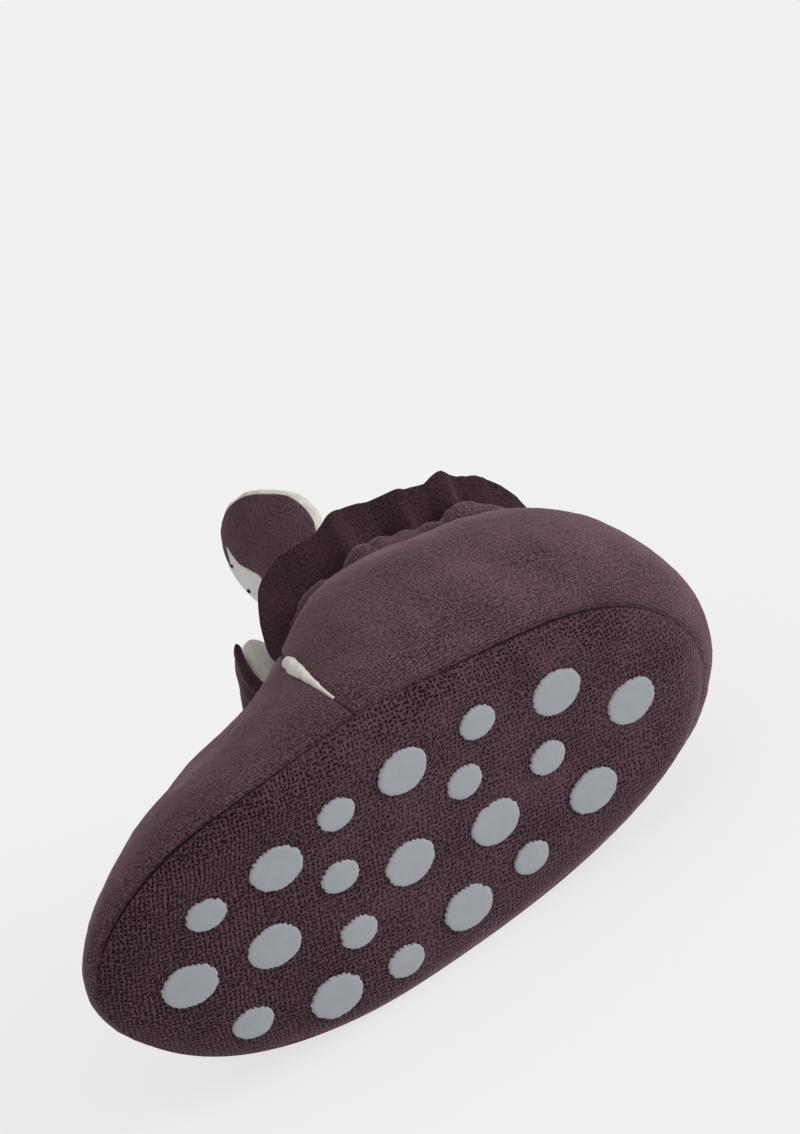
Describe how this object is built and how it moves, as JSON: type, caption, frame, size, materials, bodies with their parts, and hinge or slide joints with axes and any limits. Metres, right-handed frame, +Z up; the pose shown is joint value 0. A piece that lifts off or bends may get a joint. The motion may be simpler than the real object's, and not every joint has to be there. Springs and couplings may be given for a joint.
{
  "type": "bootie slipper",
  "caption": "Soft baby bootie slipper with a gathered ankle cuff, a long tongue, fleece lining and grip dots on the sole, lying on its right side.",
  "frame": {"origin": "bottom centre of the box round the lying shoe, on the floor", "axes": "-X from heel to toe, +Y towards the ankle opening, -Y out of the sole, +Z up, towards the shoe's left side"},
  "size_m": [0.1276, 0.0884, 0.063],
  "materials": {
    "upper_velour": "plum velour with a short pile, fleece inside",
    "sole_velour": "plum ribbed velour",
    "cuff_velour": "plum velour, gathered",
    "tongue_velour": "plum velour, fleece inside",
    "insole_fleece": "cream fleece",
    "grip_silicone": "pale blue grey silicone, slightly glossy"
  },
  "bodies": {
    "root": {"sole": "sole_velour", "insole": "insole_fleece", "upper": "upper_velour", "cuff": "cuff_velour", "tongue": "tongue_velour", "grip_01_large": "grip_silicone", "grip_02_large": "grip_silicone", "grip_03_large": "grip_silicone", "grip_04_large": "grip_silicone", "grip_05_large": "grip_silicone", "grip_06_large": "grip_silicone", "grip_07_large": "grip_silicone", "grip_08_large": "grip_silicone", "grip_09_large": "grip_silicone", "grip_10_large": "grip_silicone", "grip_11_large": "grip_silicone", "grip_12_small": "grip_silicone", "grip_13_small": "grip_silicone", "grip_14_small": "grip_silicone", "grip_15_small": "grip_silicone", "grip_16_small": "grip_silicone", "grip_17_small": "grip_silicone", "grip_18_small": "grip_silicone", "grip_19_small": "grip_silicone", "grip_20_small": "grip_silicone", "grip_21_small": "grip_silicone"}
  },
  "joints": []
}
